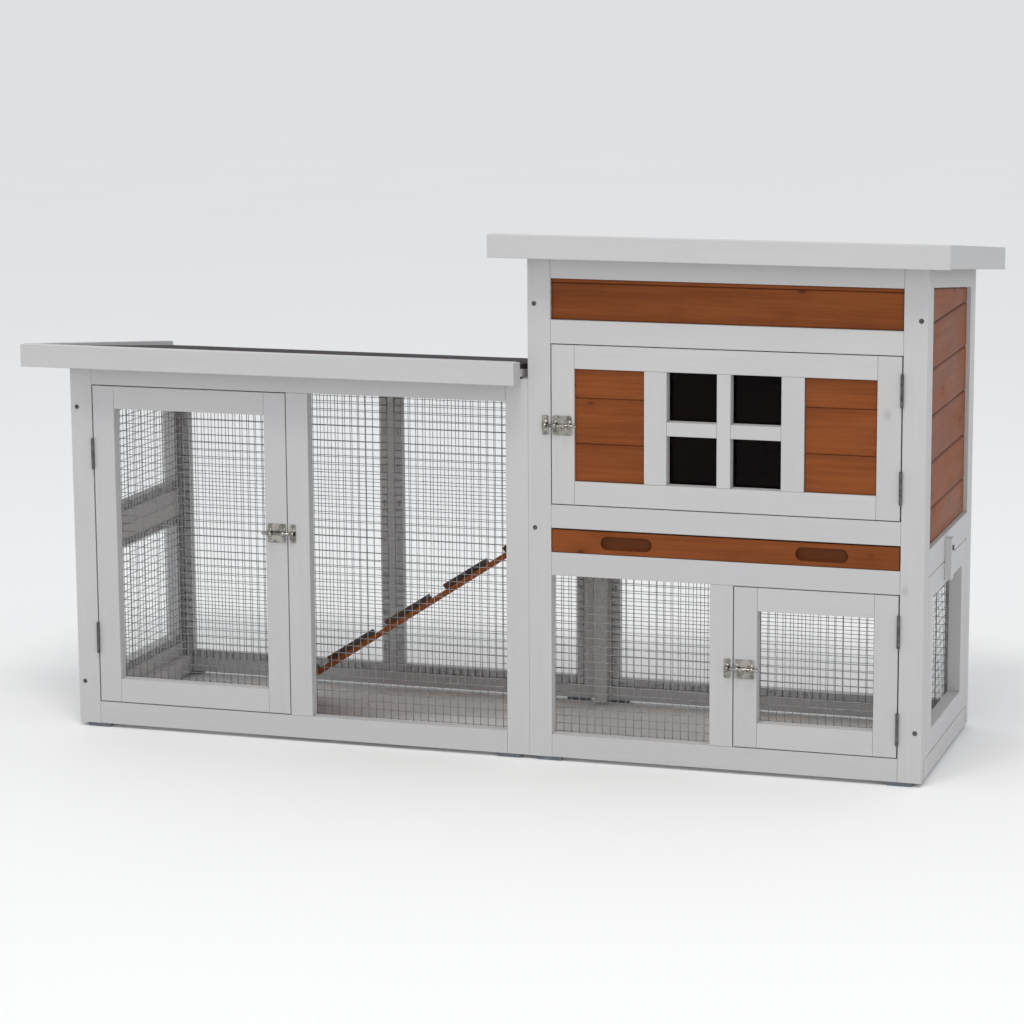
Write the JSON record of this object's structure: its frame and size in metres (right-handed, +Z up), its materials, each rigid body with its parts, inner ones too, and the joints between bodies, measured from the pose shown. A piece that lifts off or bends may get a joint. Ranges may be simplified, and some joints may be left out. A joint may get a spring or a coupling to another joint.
{
  "type": "rabbit hutch",
  "caption": "Wooden rabbit hutch: two-storey house with doors and pull-out tray, and a lower wire-mesh run with door and ramp under sloping roofs.",
  "frame": {"origin": "middle of the bounding box's footprint, on the ground under the feet", "axes": "+X along the front, from the run on the left to the house on the right; -Y is the front with the doors; +Z up"},
  "size_m": [1.4796, 0.562, 0.818],
  "materials": {
    "white_paint": "thin semi-opaque white paint over softwood, satin",
    "brown_stain": "brown stain, satin",
    "dark_stain": "brown stain, satin",
    "bare_wood": "untreated softwood, matte",
    "roofing_felt": "mineral felt, matte and gritty",
    "galvanised_wire": "galvanised, satin",
    "zinc_steel": "zinc plated, slightly dull",
    "chrome_plate": "bright plated",
    "foot_plastic": "matte",
    "clear_acrylic": "clear, glossy"
  },
  "bodies": {
    "hutch": {"run_front_frame": "white_paint", "run_rear_frame": "white_paint", "run_left_frame": "white_paint", "side_base_battens": "white_paint", "house_front_frame": "white_paint", "house_rear_frame": "white_paint", "house_left_frame": "white_paint", "house_right_frame": "white_paint", "front_board": "brown_stain", "rear_planks": "brown_stain", "left_planks": "brown_stain", "right_planks": "brown_stain", "upper_floor": "bare_wood", "floor_bearers": "bare_wood", "run_roof_board": "bare_wood", "run_roof_felt": "roofing_felt", "run_roof_battens": "white_paint", "run_roof_fascias": "white_paint", "house_roof_board": "bare_wood", "house_roof_felt": "roofing_felt", "house_roof_battens": "white_paint", "house_roof_fascias": "white_paint", "ramp_plank": "brown_stain", "ramp_cleats": "dark_stain", "ramp_support": "dark_stain", "run_front_mesh": "galvanised_wire", "run_rear_mesh": "galvanised_wire", "run_left_mesh": "galvanised_wire", "house_front_mesh": "galvanised_wire", "house_rear_mesh": "galvanised_wire", "hatch_frame": "white_paint", "hatch_mesh": "galvanised_wire", "turn_button_screw": "zinc_steel", "frame_hinge_leaves": "zinc_steel", "hinge_pins": "zinc_steel", "latch_keepers": "chrome_plate", "frame_screws": "zinc_steel", "feet": "foot_plastic"},
    "run_door": {"run_door_frame": "white_paint", "run_door_mesh": "galvanised_wire", "run_door_hinge_leaves": "zinc_steel", "run_door_latch": "chrome_plate"},
    "run_bolt": {"run_door_bolt": "chrome_plate"},
    "upper_door": {"upper_door_frame": "white_paint", "upper_door_planks": "brown_stain", "window_pane": "clear_acrylic", "upper_door_hinge_leaves": "zinc_steel", "upper_door_latch": "chrome_plate"},
    "upper_bolt": {"upper_door_bolt": "chrome_plate"},
    "lower_door": {"lower_door_frame": "white_paint", "lower_door_mesh": "galvanised_wire", "lower_door_hinge_leaves": "zinc_steel", "lower_door_latch": "chrome_plate"},
    "lower_bolt": {"lower_door_bolt": "chrome_plate"},
    "tray": {"tray_front": "brown_stain", "tray_base": "bare_wood", "tray_rim": "bare_wood"},
    "turn_button": {"turn_button": "white_paint"}
  },
  "joints": [
    {"name": "run_door_hinge", "type": "hinge", "parent": "hutch", "child": "run_door", "pos_m": [-0.63675, -0.2437, 0.3005], "axis": [0, 0, -1], "range_deg": [0, 160]},
    {"name": "upper_door_hinge", "type": "hinge", "parent": "hutch", "child": "upper_door", "pos_m": [0.66525, -0.2437, 0.5265], "axis": [0, 0, 1], "range_deg": [0, 160]},
    {"name": "lower_door_hinge", "type": "hinge", "parent": "hutch", "child": "lower_door", "pos_m": [0.66525, -0.2437, 0.1625], "axis": [0, 0, 1], "range_deg": [0, 160]},
    {"name": "run_bolt_slide", "type": "slide", "parent": "run_door", "child": "run_bolt", "axis": [1, 0, 0], "range_m": [-0.001, 0.01]},
    {"name": "upper_bolt_slide", "type": "slide", "parent": "upper_door", "child": "upper_bolt", "axis": [-1, 0, 0], "range_m": [-0.001, 0.01]},
    {"name": "lower_bolt_slide", "type": "slide", "parent": "lower_door", "child": "lower_bolt", "axis": [-1, 0, 0], "range_m": [-0.001, 0.01]},
    {"name": "tray_slide", "type": "slide", "parent": "hutch", "child": "tray", "axis": [0, -1, 0], "range_m": [0, 0.32]},
    {"name": "turn_button_pivot", "type": "hinge", "parent": "hutch", "child": "turn_button", "pos_m": [0.70755, -0.063, 0.334], "axis": [1, 0, 0], "range_deg": [0, 90]}
  ]
}
